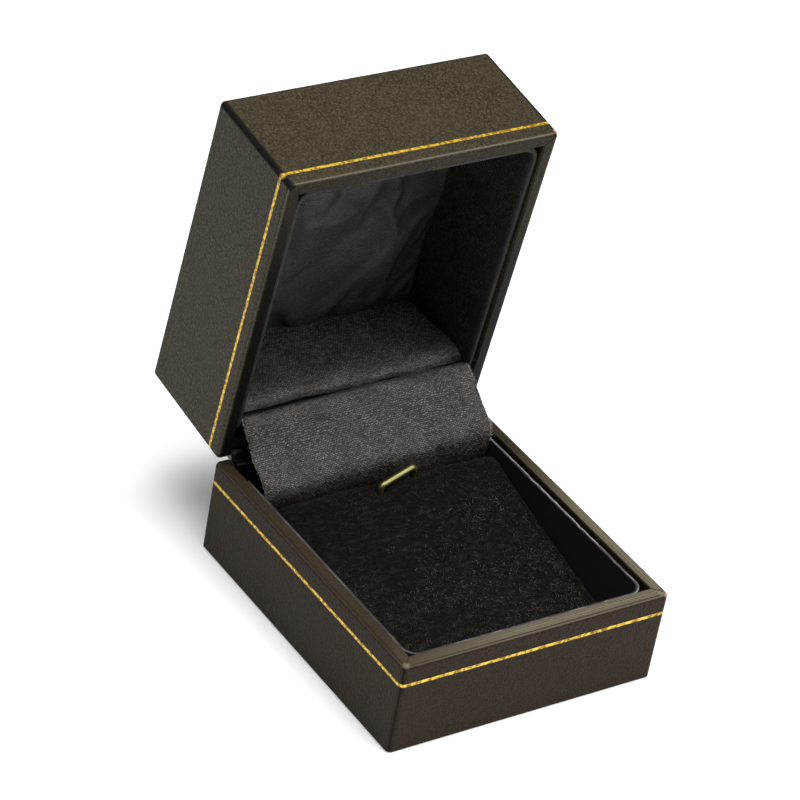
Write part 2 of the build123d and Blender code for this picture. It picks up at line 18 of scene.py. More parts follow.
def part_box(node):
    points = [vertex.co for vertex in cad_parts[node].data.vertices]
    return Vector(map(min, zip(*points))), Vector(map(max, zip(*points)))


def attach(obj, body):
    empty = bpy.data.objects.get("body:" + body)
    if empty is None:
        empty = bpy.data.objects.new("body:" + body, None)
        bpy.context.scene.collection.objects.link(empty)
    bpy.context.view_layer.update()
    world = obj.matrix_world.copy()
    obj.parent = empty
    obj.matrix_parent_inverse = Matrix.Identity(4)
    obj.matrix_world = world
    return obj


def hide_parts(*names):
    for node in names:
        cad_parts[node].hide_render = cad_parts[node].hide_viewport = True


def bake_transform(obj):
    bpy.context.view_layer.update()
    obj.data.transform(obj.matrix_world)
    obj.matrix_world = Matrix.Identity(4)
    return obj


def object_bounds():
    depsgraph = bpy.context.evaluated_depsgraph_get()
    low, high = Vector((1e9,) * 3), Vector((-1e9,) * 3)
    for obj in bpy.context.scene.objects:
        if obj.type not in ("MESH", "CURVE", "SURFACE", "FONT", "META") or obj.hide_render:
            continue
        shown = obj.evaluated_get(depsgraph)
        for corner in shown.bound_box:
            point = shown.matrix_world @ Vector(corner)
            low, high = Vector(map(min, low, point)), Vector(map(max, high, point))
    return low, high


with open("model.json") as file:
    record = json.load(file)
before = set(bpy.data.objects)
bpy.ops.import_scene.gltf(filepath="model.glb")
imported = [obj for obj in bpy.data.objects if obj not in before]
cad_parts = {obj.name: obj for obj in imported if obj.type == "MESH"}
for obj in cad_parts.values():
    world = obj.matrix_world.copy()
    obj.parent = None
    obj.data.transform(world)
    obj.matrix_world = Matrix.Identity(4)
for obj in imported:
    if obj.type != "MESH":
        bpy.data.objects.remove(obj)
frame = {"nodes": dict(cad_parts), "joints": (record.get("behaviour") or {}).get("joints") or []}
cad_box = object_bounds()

MM = 0.001
size = (cad_box[1] - cad_box[0]) / MM
print("nodes:", len(frame["nodes"]), "size in mm:", [round(s, 1) for s in size])

# %% [markdown]
# The lid turns on one hinge at the back. Lid pieces are easiest to think of with the box shut, where every
# wall is square, so one matrix takes a shut place to the open one that the box is photographed in.

# %% The hinge, and a way from shut to open
lid_joint = frame["joints"][0]
hinge = Vector(lid_joint["pos_m"])
open_angle = radians(lid_joint["range_deg"][1])
lid_opened = Matrix.Translation(hinge) @ Matrix.Rotation(-open_angle, 4, "X") @ Matrix.Translation(-hinge)
lid_shut = lid_opened.inverted()


def in_lid(x, y, z):
    """The open place, in metres, of a point given in millimetres with the lid shut."""
    return lid_opened @ Vector((x * MM, y * MM, z * MM))


def shut_box(node):
    """The lowest and highest corners of a lid node with the lid shut, in millimetres."""
    corners = [lid_shut @ vertex.co / MM for vertex in frame["nodes"][node].data.vertices]
    low = Vector([min(corner[axis] for corner in corners) for axis in range(3)])
    high = Vector([max(corner[axis] for corner in corners) for axis in range(3)])
    return low, high


def box_in_mm(node):
    """The lowest and highest corners of a node as it stands, in millimetres."""
    low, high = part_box(node)
    return low / MM, high / MM


print("hinge at", [round(c / MM, 2) for c in hinge], "mm, lid open", lid_joint["range_deg"][1], "degrees")

# %% [markdown]
# Colours are picked from swatches as sRGB hex. A shader wants linear light, so one function converts them.
# Another adds a node to a material, and each new material hands it over as add. Those two, and the wiring
# between them, are all the machinery that the materials below need. A node that is given as a value stands
# for the first of its outputs in use.

# %% Colour and node helpers


def linear(hex_colour):
    """An sRGB hex colour as the linear red, green, blue and alpha of a shader socket."""
    channels = [int(hex_colour[place:place + 2], 16) / 255 for place in (1, 3, 5)]
    return [c / 12.92 if c <= 0.04045 else ((c + 0.055) / 1.055) ** 2.4 for c in channels] + [1.0]


def wire(node, sockets):
    """Sets each socket to its value or to its hex colour, or links it to an output or a node."""
    for key, value in sockets.items():
        if isinstance(value, bpy.types.Node):
            value = next(output for output in value.outputs if output.enabled)
        if isinstance(value, bpy.types.NodeSocket):
            node.id_data.links.new(value, node.inputs[key])
        else:
            node.inputs[key].default_value = linear(value) if isinstance(value, str) else value


def add_node(material, kind, settings):
    """Adds a shader node. Lower-case keys of the settings are its properties, and the rest its sockets."""
    node = material.node_tree.nodes.new("ShaderNode" + kind)
    for key, value in settings.items():
        if str(key).islower():
            setattr(node, key, value)
        else:
            wire(node, {key: value})
    return node


def new_material(name):
    """An empty node material, its Principled shader, wired to the output, and what adds its nodes."""
    material = bpy.data.materials.new(name)
    material.use_nodes = True
    material.node_tree.nodes.clear()
    add = partial(add_node, material)
    shader = add("BsdfPrincipled", {})
    add("OutputMaterial", {"Surface": shader})
    return material, shader, add


print("black cover swatch in linear light:", [round(c, 4) for c in linear("#35302A")])

# %% [markdown]
# Wear and folds belong to places on the box: a corner, a rim, a cut edge. A place on the lid is simplest with
# the lid shut, so the first function gives the shut place of whatever is being shaded, in millimetres. The
# second gives how far that place is from an outline seen from above, so a line can follow a bent card. The
# last gives how far it is from the level of the box's opening.

# %% Places on the box, for the shaders


def shut_place(add, lid_side):
    """The place being shaded, in millimetres, of the base or of the lid as it lies when shut."""
    where = add("TexCoord", {}).outputs["Object"]
    if lid_side:
        from_hinge = add("VectorMath", {"operation": "SUBTRACT", 0: where, 1: tuple(hinge)})
        turned = add("VectorRotate", {"rotation_type": "X_AXIS", "Vector": from_hinge, "Angle": open_angle})
        where = add("VectorMath", {"operation": "ADD", 0: turned, 1: tuple(hinge)})
    return add("VectorMath", {"operation": "SCALE", 0: where, "Scale": 1 / MM})


def from_outline(add, place, low, high, corner):
    """Distance in millimetres out from a rounded upright outline, true within its corner radius of it."""
    middle = (low + high) / 2
    reach = (high - low) / 2
    level = add("VectorMath", {
        "operation": "MULTIPLY_ADD", 0: place, 1: (1, 1, 0), 2: (-middle.x, -middle.y, 0)})
    folded = add("VectorMath", {"operation": "ABSOLUTE", 0: level})
    past = add("VectorMath", {"operation": "SUBTRACT", 0: folded, 1: (reach.x - corner, reach.y - corner, 0)})
    outside = add("VectorMath", {"operation": "MAXIMUM", 0: past, 1: (0, 0, 0)})
    length = add("VectorMath", {"operation": "LENGTH", 0: outside})
    return add("Math", {"operation": "SUBTRACT", 0: length, 1: corner})


def far_from(add, value, level):
    """How far a value is from a level, either way."""
    past = add("Math", {"operation": "SUBTRACT", 0: value, 1: level})
    return add("Math", {"operation": "ABSOLUTE", 0: past})


def from_opening(add, place, low, high, lid_side):
    """Distance in millimetres from the level of the opening: the lowest of a lid, the highest of a base."""
    up = add("SeparateXYZ", {0: place}).outputs["Z"]
    return far_from(add, up, low.z if lid_side else high.z)


print("shader places ready")

# %% [markdown]
# **Leatherette** is paper coated with PVC and pressed with a fine grain by an engraved roller. The coating is
# an olive black that shines softly. Its pebbles are about 0.4 mm across and lie in a coarser crinkle, which
# is what the eye finds from a step away.

# %% The grain of the leatherette
GRAIN_MM = 0.42
CRINKLE_MM = 1.0
CLOUD_MM = 9
SKIN_MM = 0.16


def leatherette_grain(add, place, tones):
    """The colour, relief and fine skin of the pressed grain, from a dark, a middle and a light tone."""
    pebbles = add("TexVoronoi", {"Vector": place, "Scale": 1 / GRAIN_MM, "Randomness": 0.9})
    crest = add("MapRange", {
        "Value": pebbles, "From Min": 0.1, "From Max": 0.75, "To Min": 1.0, "To Max": 0.0})
    crinkle = add("TexVoronoi", {"feature": "DISTANCE_TO_EDGE", "Vector": place, "Scale": 1 / CRINKLE_MM})
    valley = add("MapRange", {"Value": crinkle, "From Max": 0.14, "To Min": 0.5, "To Max": 0.0})
    clouds = add("TexNoise", {"Vector": place, "Scale": 1 / CLOUD_MM})
    cloudy = add("MapRange", {
        "Value": clouds, "From Min": 0.3, "From Max": 0.7, "To Min": 0.0, "To Max": 0.45})
    skin = add("TexNoise", {"Vector": place, "Scale": 1 / SKIN_MM, "Detail": 3.0, "Roughness": 0.6})
    grained = add("Mix", {"data_type": "RGBA", 0: crest, 6: tones[0], 7: tones[2]})
    mottled = add("Mix", {"data_type": "RGBA", 0: cloudy, 6: grained, 7: tones[1]})
    creased = add("Mix", {"data_type": "RGBA", 0: valley, 6: mottled, 7: "#17130D"})
    rise = add("Math", {"operation": "MULTIPLY_ADD", 0: skin, 1: 0.4, 2: crest})
    relief = add("Math", {"operation": "SUBTRACT", 0: rise, 1: valley})
    return creased, relief, skin


print("leatherette grain pitch", GRAIN_MM, "mm, crinkle", CRINKLE_MM, "mm")

# %% [markdown]
# The flat of the base's rim carries a painted highlight, paler towards the light at the front right, in
# streaks that run along it, with a painted highlight line where the cover turns over its edge. The lid's rim
# is painted dark, as shade. A noise of one dimension, read across the rim, makes streaks, and the fine skin
# of the cover makes them waver.

# %% The rim's painted highlight and shade
STREAK_MM = 0.32
RIM_REACH_MM = 2.6
SHOULDER_MM = 0.3


def rubbed_rim(add, place, colour, skin, box, off_rim, shaded_tone, highlit_tone, light_from):
    """Paints shade and highlight on the rim, from shaded_tone to highlit_tone, each a tone and its share,
    towards light_from.
    """
    on_flat = add("MapRange", {"Value": off_rim, "From Min": 0.2, "From Max": 0.04})
    # painted light: how far a place lies towards the light at the front, which sets the rim's painted shade
    # and highlight
    light_facing = add("VectorMath", {"operation": "DOT_PRODUCT", 0: place, 1: light_from})
    lit_share = add("MapRange", {"Value": light_facing, "From Min": 3.0, "From Max": 21.0})
    share = add("MapRange", {"Value": lit_share, "To Min": shaded_tone[1], "To Max": highlit_tone[1]})
    tone = add("Mix", {"data_type": "RGBA", 0: lit_share, 6: shaded_tone[0], 7: highlit_tone[0]})
    outward = from_outline(add, place, *box, RIM_REACH_MM)
    waver = add("Math", {"operation": "MULTIPLY_ADD", 0: skin, 1: 0.35, 2: outward})
    streaks = add("TexNoise", {"noise_dimensions": "1D", "W": waver, "Scale": 1 / STREAK_MM, "Detail": 3.0})
    least = add("MapRange", {"Value": lit_share, "To Min": 1.0, "To Max": 0.1})
    streaky = add("MapRange", {"Value": streaks, "From Min": 0.4, "From Max": 0.58, "To Min": least})
    # painted highlight: the flat of the rim is lightened in streaks, most towards the light
    on_share = add("Math", {"operation": "MULTIPLY", 0: on_flat, 1: share})
    highlight_share = add("Math", {"operation": "MULTIPLY", 0: on_share, 1: streaky})
    rim_toned = add("Mix", {"data_type": "RGBA", 0: highlight_share, 6: colour, 7: tone})
    # painted highlight: a pale line where the cover turns over the rim's shoulder
    off_shoulder = far_from(add, off_rim, SHOULDER_MM)
    line = add("MapRange", {"Value": off_shoulder, "From Min": 0.16, "From Max": 0.04, "To Max": 0.5})
    line_share = add("MapRange", {"Value": lit_share, "To Min": 0.3})
    highlight_line = add("Math", {"operation": "MULTIPLY", 0: line, 1: line_share})
    return add("Mix", {"data_type": "RGBA", 0: highlight_line, 6: rim_toned, 7: "#7A7464"})


print("rim streaks every", STREAK_MM, "mm")

# %% [markdown]
# The sheet is cut and folded at each corner, and a dark line runs down each corner, broad on the lid and
# thin on the base. A few corner tips are worn down to the paper, pink or grey.

# %% Dark corner lines and worn tips


def folded_corners(add, place, colour, high, corner_line_mm):
    """The colour with a dark line of a width down each corner of a box whose far corner is high."""
    inset = add("VectorMath", {"operation": "ABSOLUTE", 0: place})
    sides = add("SeparateXYZ", {0: inset}).outputs
    from_side = add("Math", {"operation": "SUBTRACT", 0: high.x, 1: sides["X"]})
    from_end = add("Math", {"operation": "SUBTRACT", 0: high.y, 1: sides["Y"]})
    both = add("Math", {"operation": "ADD", 0: from_side, 1: from_end})
    at_corner = add("MapRange", {"Value": both, "From Min": 1.9, "From Max": 1.5, "To Max": 0.92})
    off_corner_line = far_from(add, from_side, from_end)
    on_corner_line = add("MapRange", {"Value": off_corner_line, "From Min": corner_line_mm, "From Max": 0.6 * corner_line_mm})
    # darkened down the middle of each corner
    corner_line = add("Math", {"operation": "MULTIPLY", 0: at_corner, 1: on_corner_line})
    return add("Mix", {"data_type": "RGBA", 0: corner_line, 6: colour, 7: "#070605"})


def worn_tip(add, place, colour, skin, tip, bared):
    """The colour with a ragged spot, about a millimetre wide, worn down to another tone at a tip."""
    away = add("VectorMath", {"operation": "DISTANCE", 0: place, 1: tip})
    ragged = add("Math", {"operation": "ADD", 0: away, 1: skin})
    bare = add("MapRange", {"Value": ragged, "From Min": 1.25, "From Max": 0.9, "To Max": 0.8})
    return add("Mix", {"data_type": "RGBA", 0: bare, 6: colour, 7: bared})


def leatherette_cover(name, node, lid_side, tones, corner_line_mm, rim_light, worn_tips):
    """Leatherette of one half: its tones, dark corner lines and painted rim light, and each worn tip with the
    tone it bares.
    """
    box = shut_box(node) if lid_side else box_in_mm(node)
    material, shader, add = new_material(name)
    place = shut_place(add, lid_side)
    colour, relief, skin = leatherette_grain(add, place, tones)
    off_rim = from_opening(add, place, *box, lid_side)
    colour = rubbed_rim(add, place, colour, skin, box, off_rim, *rim_light)
    colour = folded_corners(add, place, colour, box[1], corner_line_mm)
    for tip, bared in worn_tips:
        colour = worn_tip(add, place, colour, skin, tip, bared)
    gloss = add("MapRange", {"Value": skin, "From Min": 0.3, "From Max": 0.7, "To Min": 0.42, "To Max": 0.6})
    bump = add("Bump", {"Strength": 0.6, "Distance": 0.07 * MM, "Height": relief})
    wire(shader, {
        "Base Color": colour, "Roughness": gloss, "Normal": bump, "IOR": 1.52, "Specular IOR Level": 0.08})
    return material


PINK_PAPER = "#A8715C"
GREY_PAPER = "#6C6757"
BASE_CORNER_LINE_MM = 0.25
LID_CORNER_LINE_MM = 1.1
# painted light: the base's copy of the leatherette has darker tones than the lid's, a shaded and a lit copy
# of one cover
base_leatherette = leatherette_cover(
    "pvc_leatherette_base", "base_wrap", False, ("#20180E", "#2B2114", "#352817"), BASE_CORNER_LINE_MM,
    # painted shade at the back of the base's rim, painted highlight towards the front right
    (("#3A3529", 0.4), ("#6C6756", 1.0), (0.6, -0.8, 0)),
    [((26.6, -30.0, 17.6), PINK_PAPER), ((-26.3, -29.7, 17.9), GREY_PAPER),
     ((25.6, -29.5, 17.9), GREY_PAPER)])
lid_leatherette = leatherette_cover(
    "pvc_leatherette_lid", "lid_wrap", True, ("#29241A", "#3D3729", "#4B4331"), LID_CORNER_LINE_MM,
    # painted shade over the whole rim of the lid
    (("#0B0906", 1.0), ("#211C14", 1.0), (0.25, -0.85, 0)),
    [((-26.8, -30.2, 21.0), PINK_PAPER), ((26.6, -30.0, 18.9), PINK_PAPER)])
print("dark folds", BASE_CORNER_LINE_MM, "mm wide on the base and", LID_CORNER_LINE_MM, "mm on the lid")

# %% [markdown]
# **Gold foil** is a polyester film coated with tinted aluminium, pressed on with a hot wheel. It lies in the
# grain that it was stamped over, so it glitters in flecks instead of shining as one strip. Like many of the
# plainer finishes below, it is made of one pattern, which gives its tone, its gloss and its relief.

# %% Finishes of one pattern, and gold foil


def patterned(name, kind, pitch_mm, texture, tones, sockets,
              contrast=(0, 1), gloss=None, relief=None, stretch=1):
    """A finish from one texture node of a pitch, with its settings, two tones and the shader's own sockets.

    contrast is where the pattern shows its first and its second tone, gloss the roughness of its low and its
    high places, relief the strength and the height in mm of its bump, and stretch draws it out along X.
    """
    material, shader, add = new_material(name)
    where = add("TexCoord", {}).outputs["Object"]
    drawn = add("Mapping", {"Vector": where, "Scale": (1 / stretch, 1, 1)})
    pattern = add(kind, {"Vector": drawn, "Scale": 1 / (pitch_mm * MM), **texture})
    share = add("MapRange", {"Value": pattern, "From Min": contrast[0], "From Max": contrast[1]})
    tone = add("Mix", {"data_type": "RGBA", 0: share, 6: tones[0], 7: tones[1]})
    wire(shader, {"Base Color": tone, **sockets})
    if gloss:
        rough = add("MapRange", {
            "Value": pattern, "From Min": 0.3, "From Max": 0.7, "To Min": gloss[0], "To Max": gloss[1]})
        wire(shader, {"Roughness": rough})
    if relief:
        bump = add("Bump", {"Strength": relief[0], "Distance": relief[1] * MM, "Height": pattern})
        wire(shader, {"Normal": bump})
    return material


FLECK_MM = 0.6
foil = patterned(
    "hot_stamped_gold_foil", "TexNoise", FLECK_MM, {}, ("#86680A", "#E6C03C"), {"Metallic": 0.55},
    contrast=(0.42, 0.58), gloss=(0.55, 0.3), relief=(0.6, 0.05))
print("foil flecks every", FLECK_MM, "mm")

# %% [markdown]
# **Polystyrene** makes the two moulded shells. Only the hinge notch and the walls behind the liners show it,
# black, with the faint matt texture of a spark-eroded mould.

# %% Moulded polystyrene
polystyrene = patterned(
    "moulded_polystyrene", "TexNoise", 0.15, {}, ("#121110", "#1C1B19"), {"IOR": 1.59},
    gloss=(0.5, 0.65), relief=(0.3, 0.02))
print("shells of", polystyrene.name)

# %% [markdown]
# ** Card** is board faced with black paper. Where the knife cut it the grey core shows as a thin pale line,
# which draws the outline of both liners. The height of a place finds that cut edge, and its distance from
# the bent outline finds the core. The knife wandered a little, so the line does too, and towards the left of
# the box it is darker.

# %% Black-faced liner card
LINER_CORNER_MM = 3.0
CORE_LINE_MM = 0.2
KNIFE_WANDER_MM = 0.7
KNIFE_SLIP_MM = 2.6
SMUDGE_MM = 5
CARD_FIBRE_MM = 0.25


def core_line(add, place, low, high, lid_side):
    """The share of the pale core at a place on the card's cut edge, where the knife wandered in and out."""
    off_edge = from_opening(add, place, low, high, lid_side)
    on_edge = add("Math", {"operation": "LESS_THAN", 0: off_edge, 1: 0.06})
    mirrored = Vector((high.x, 2 * high.y - low.y, high.z))
    outward = from_outline(add, place, low, mirrored, LINER_CORNER_MM)
    knife = add("TexNoise", {"Vector": place, "Scale": 1 / KNIFE_SLIP_MM})
    wander = add("Math", {
        "operation": "MULTIPLY_ADD", 0: knife, 1: KNIFE_WANDER_MM, 2: CORE_LINE_MM - KNIFE_WANDER_MM / 2})
    past_core = add("Math", {"operation": "ADD", 0: outward, 1: wander})
    off_core = add("Math", {"operation": "ABSOLUTE", 0: past_core})
    near_core = add("MapRange", {"Value": off_core, "From Min": 0.17, "From Max": 0.1})
    return add("Math", {"operation": "MULTIPLY", 0: near_core, 1: on_edge})


def faced_card(name, node, lid_side, dark, light):
    """Card bent round a mouth, faced in two dark tones, whose cut edge shows its core as a line."""
    box = shut_box(node) if lid_side else box_in_mm(node)
    material, shader, add = new_material(name)
    place = shut_place(add, lid_side)
    on_core = core_line(add, place, *box, lid_side)
    fibres = add("TexNoise", {"Vector": place, "Scale": 1 / CARD_FIBRE_MM, "Detail": 4.0, "Roughness": 0.6})
    smudge = add("TexNoise", {"Vector": place, "Scale": 1 / SMUDGE_MM, "Detail": 1.0})
    clean = add("MapRange", {"Value": smudge, "From Min": 0.35, "From Max": 0.6, "To Min": 0.25})
    across = add("SeparateXYZ", {0: place}).outputs["X"]
    # darker towards the left of the box
    darker_leftward = add("MapRange", {"Value": across, "From Min": -19.0, "From Max": -4.0, "To Min": 0.3})
    fibre_tone = add("Math", {"operation": "MULTIPLY", 0: fibres, 1: clean})
    paleness = add("Math", {"operation": "MULTIPLY", 0: fibre_tone, 1: darker_leftward})
    core = add("Mix", {"data_type": "RGBA", 0: paleness, 6: "#232324", 7: "#B4B3B0"})
    face = add("Mix", {"data_type": "RGBA", 0: fibres, 6: dark, 7: light})
    colour = add("Mix", {"data_type": "RGBA", 0: on_core, 6: face, 7: core})
    bump = add("Bump", {"Strength": 0.35, "Distance": 0.03 * MM, "Height": fibres})
    wire(shader, {
        "Base Color": colour, "Roughness": 0.6, "Normal": bump, "IOR": 1.47, "Specular IOR Level": 0.3})
    return material


base_card = faced_card("black_faced_card_base", "base_liner", False, "#1B171A", "#332D31")
# painted shade: the lid's card gets near-black tones, darker than the base's, so the crease above the flap
# reads dark
lid_card_shaded = faced_card("black_faced_card_lid", "lid_liner", True, "#060606", "#121212")
card_edges = [box_in_mm("base_liner")[1].z, shut_box("lid_liner")[0].z]
print("card edges at", [round(level, 2) for level in card_edges], "mm")

# %% [markdown]
# **Grey board** is what the hidden cards are: recycled pulp, matt, with its fibres showing. The **sole** is a
# dark paper under the base, embossed with a fine pebble.

# %% Grey board and sole paper
BOARD_FIBRE_MM = 0.4
EMBOSS_MM = 0.6
grey_board = patterned(
    "grey_board", "TexNoise", BOARD_FIBRE_MM, {"Detail": 5.0, "Roughness": 0.65}, ("#5F5C56", "#A19D94"),
    {"Roughness": 0.85, "IOR": 1.47}, relief=(0.4, 0.03))
sole_paper = patterned(
    "embossed_sole_paper", "TexVoronoi", EMBOSS_MM, {"Randomness": 0.7}, ("#1B1917", "#2C2926"),
    {"Roughness": 0.75, "IOR": 1.5}, relief=(0.5, 0.04))
print("board fibres every", BOARD_FIBRE_MM, "mm, paper emboss every", EMBOSS_MM, "mm")

# %% [markdown]
# ** Metals**. The leaves, rivets and pin are nickel-plated mild steel, rolled and tumbled, so their scratches
# run every way. They sit in the shade of the hinge: their finish is dull, and their tones are painted dark as
# shade. The snap spring is blued strip, brushed along its length. The bridge for the pendant is brass-plated
# wire whose lacquer has dulled to olive.

# %% Plated steel, spring steel and gilt wire
BARE_METAL = {"Metallic": 1.0}
SCRATCHED = {"Detail": 4.0, "Roughness": 0.7}
SCRATCH_RELIEF = (0.3, 0.02)
# painted shade: the plated steel's tones are kept dark for the shade of the hinge
plated_steel = patterned(
    "nickel_plated_steel", "TexNoise", 0.3, SCRATCHED, ("#33312F", "#605C57"), BARE_METAL,
    gloss=(0.37, 0.55), relief=SCRATCH_RELIEF)
spring_steel = patterned(
    "blued_spring_steel", "TexNoise", 0.12, SCRATCHED, ("#4C5058", "#7C828C"), BARE_METAL,
    gloss=(0.27, 0.45), relief=SCRATCH_RELIEF, stretch=8)
gilt_wire = patterned(
    "dulled_gilt_wire", "TexNoise", 0.35, SCRATCHED, ("#5C5833", "#A29C6A"), BARE_METAL,
    gloss=(0.34, 0.52), relief=SCRATCH_RELIEF)
print("metals:", plated_steel.name, spring_steel.name, gilt_wire.name)

# %% [markdown]
# ** Velvet** is a cut rayon pile on a woven ground. The pile stands up and swallows light, so its face is
# nearly black, and the tips catch a faint sheen. Pressed places turn a little lighter. Where the cover rolls
# over at the sides it is painted quite dark, as shade. Loose fibres on it are paler.

# %% Velvet
PILE_MM = 0.35
PRESSED_MM = 0.9
COMBED_TURN = 0.7
COMBED_STRETCH = 0.45
EDGE_SHADE_FROM = 21.2 * MM
EDGE_SHADE_TO = 23.2 * MM
velvet, shader, add = new_material("rayon_velvet")
where = add("TexCoord", {}).outputs["Object"]
combed = add("Mapping", {"Vector": where, "Rotation": (0, 0, COMBED_TURN), "Scale": (COMBED_STRETCH, 1, 1)})
pile = add("TexNoise", {"Vector": combed, "Scale": 1 / (PILE_MM * MM), "Detail": 4.0, "Roughness": 0.75})
pressed = add("TexNoise", {"Vector": combed, "Scale": 1 / (PRESSED_MM * MM), "Detail": 3.0, "Roughness": 0.6})
standing = add("MapRange", {"Value": pile, "From Min": 0.35, "From Max": 0.75})
pile_colour = add("Mix", {"data_type": "RGBA", 0: standing, 6: "#020202", 7: "#151411"})
lying = add("MapRange", {"Value": pressed, "From Min": 0.5, "From Max": 0.72, "To Max": 0.7})
velvet_colour = add("Mix", {"data_type": "RGBA", 0: lying, 6: pile_colour, 7: "#201F1A"})
from_middle = add("VectorMath", {"operation": "ABSOLUTE", 0: where})
aside = add("SeparateXYZ", {0: from_middle}).outputs["X"]
# painted shade: the velvet is darkened where the cover rolls over at its left and right sides
painted_edge_shade = add("MapRange", {"Value": aside, "From Min": EDGE_SHADE_FROM, "From Max": EDGE_SHADE_TO, "To Max": 0.9})
edge_shaded_colour = add("Mix", {"data_type": "RGBA", 0: painted_edge_shade, 6: velvet_colour, 7: "#020202"})
bump = add("Bump", {"Strength": 0.9, "Distance": 0.12 * MM, "Height": pile})
wire(shader, {
    "Base Color": edge_shaded_colour, "Roughness": 0.95, "Normal": bump, "Specular IOR Level": 0.05,
    "Sheen Weight": 0.1, "Sheen Roughness": 0.5, "Sheen Tint": "#8C8A78"})
lint = patterned(
    "loose_pile_fibre", "TexNoise", 1.1, {}, ("#0D0C0A", "#5A564B"), {"Roughness": 0.6, "Sheen Weight": 0.2},
    contrast=(0.42, 0.66))
print("velvet pile noise every", PILE_MM, "mm")

# %% [markdown]
# ** Satin** is woven with long floats that lie over four threads at a time, each row stepped along from the
# last. The floats are what shines, and their sheen is painted in, as the lighter tone. The real ones are
# about
# 0.12 mm apart, too fine for this picture, which shows them as staggered dashes, so the weave is drawn 0.54
# mm long. The pattern follows the flat cut of each piece, which its UV map holds in millimetres. Inside the
# lid the satin was pressed flat over its wadding, so there the weave is fainter and the shine stronger, and
# its copies there are given darker tones than the flap's, a painted shade.

# %% Acetate satin
FLOAT_MM = 0.54
ROW_SHARE = 0.6
DRIFT_MM = 0.7
DRIFTS_PER_MM = 0.9
BLOTCHES_PER_MM = 0.16


def satin_cloth(name, dark, light, specular):
    """Charcoal satin, its floats laid along the cut and painted in the lighter tone as their sheen, and how
    strongly it mirrors.
    """
    material, shader, add = new_material(name)
    cut = add("TexCoord", {}).outputs["UV"]
    drift = add("TexNoise", {"Vector": cut, "Scale": DRIFTS_PER_MM})
    bent = add("VectorMath", {
        "operation": "MULTIPLY_ADD", 0: drift.outputs["Color"], 1: (DRIFT_MM, DRIFT_MM, 0.0), 2: cut})
    floats = add("TexBrick", {
        "offset": 0.5, "Vector": bent, "Scale": 1.0, "Mortar Size": 0.15, "Mortar Smooth": 1.0,
        "Brick Width": FLOAT_MM, "Row Height": FLOAT_MM * ROW_SHARE,
        "Color1": (1, 1, 1, 1), "Color2": (0.2, 0.2, 0.2, 1)})
    blotches = add("TexNoise", {"Vector": cut, "Scale": BLOTCHES_PER_MM, "Detail": 3.0, "Roughness": 0.6})
    blotch_share = add("MapRange", {"Value": blotches, "From Min": 0.35, "From Max": 0.65, "To Min": 0.6})
    shine = add("Math", {"operation": "MULTIPLY", 0: floats, 1: blotch_share})
    # painted sheen: the floats take the lighter tone, which fades in blotches
    colour = add("Mix", {"data_type": "RGBA", 0: shine, 6: dark, 7: light})
    gloss = add("MapRange", {"Value": shine, "To Min": 0.62, "To Max": 0.4})
    bump = add("Bump", {"Strength": 0.5, "Distance": 0.04 * MM, "Height": floats})
    wire(shader, {
        "Base Color": colour, "Roughness": gloss, "Normal": bump, "IOR": 1.48, "Specular IOR Level": specular,
        "Sheen Weight": 0.06, "Sheen Roughness": 0.35, "Sheen Tint": "#918982"})
    return material


# painted light: the flap's copy has the lightest tones, and the copies inside the lid darker ones
satin = satin_cloth("acetate_satin", "#050302", "#7A7169", 0.3)
padding_satin = satin_cloth("acetate_satin_pressed", "#0E0B09", "#564E47", 0.65)
wall_satin = satin_cloth("acetate_satin_wall", "#0B0A09", "#534C48", 0.25)
fray_thread = patterned(
    "frayed_satin_thread", "TexNoise", 0.8, {}, ("#3A3838", "#C8C6C2"),
    {"Roughness": 0.5, "Sheen Weight": 0.3})
print("satin floats drawn", FLOAT_MM, "mm long")

# %% [markdown]
# The rigid pieces keep their construction shapes, and only their finish changes.

# %% Dress the rigid pieces
finishes = {
    base_leatherette: ["base_wrap"],
    lid_leatherette: ["lid_wrap"],
    foil: ["base_gold_line", "lid_gold_line"],
    polystyrene: ["base_shell", "lid_shell"],
    base_card: ["base_liner"],
    lid_card_shaded: ["lid_liner", "lid_hinge_card"],
    grey_board: ["pad_former", "lid_card"],
    sole_paper: ["base_sole"],
    plated_steel: ["hinge_leaf_base", "hinge_leaf_lid", "leaf_rivets_base", "leaf_rivets_lid", "hinge_pin"],
    gilt_wire: ["pendant_bridge"],
}
for finish, nodes in finishes.items():
    for node in nodes:
        for place in frame["nodes"][node].material_slots:
            place.material = finish
print("dressed", sum(len(nodes) for nodes in finishes.values()), "rigid nodes")

# %% [markdown]
# Cloth is built as a grid whose corners come from a function of two numbers that run from 0 to 1 across
# and along the cut. The same numbers give the UV map, in millimetres of the flat cut, so the weave bends
# with the cloth.

# %% Grids of cloth


def put_in_scene(name, data):
    """A new object that shows a mesh, a camera or a lamp."""
    thing = bpy.data.objects.new(name, data)
    bpy.context.scene.collection.objects.link(thing)
    return thing


def cloth_mesh(name, points, faces, cuts, material):
    """A smooth mesh whose UV map holds the flat place of each corner of each face."""
    mesh = bpy.data.meshes.new(name)
    mesh.from_pydata(points, [], faces)
    cut = mesh.uv_layers.new(name="cut")
    for corner, flat_place in enumerate(cuts):
        cut.data[corner].uv = flat_place
    mesh.materials.append(material)
    mesh.shade_smooth()
    return mesh


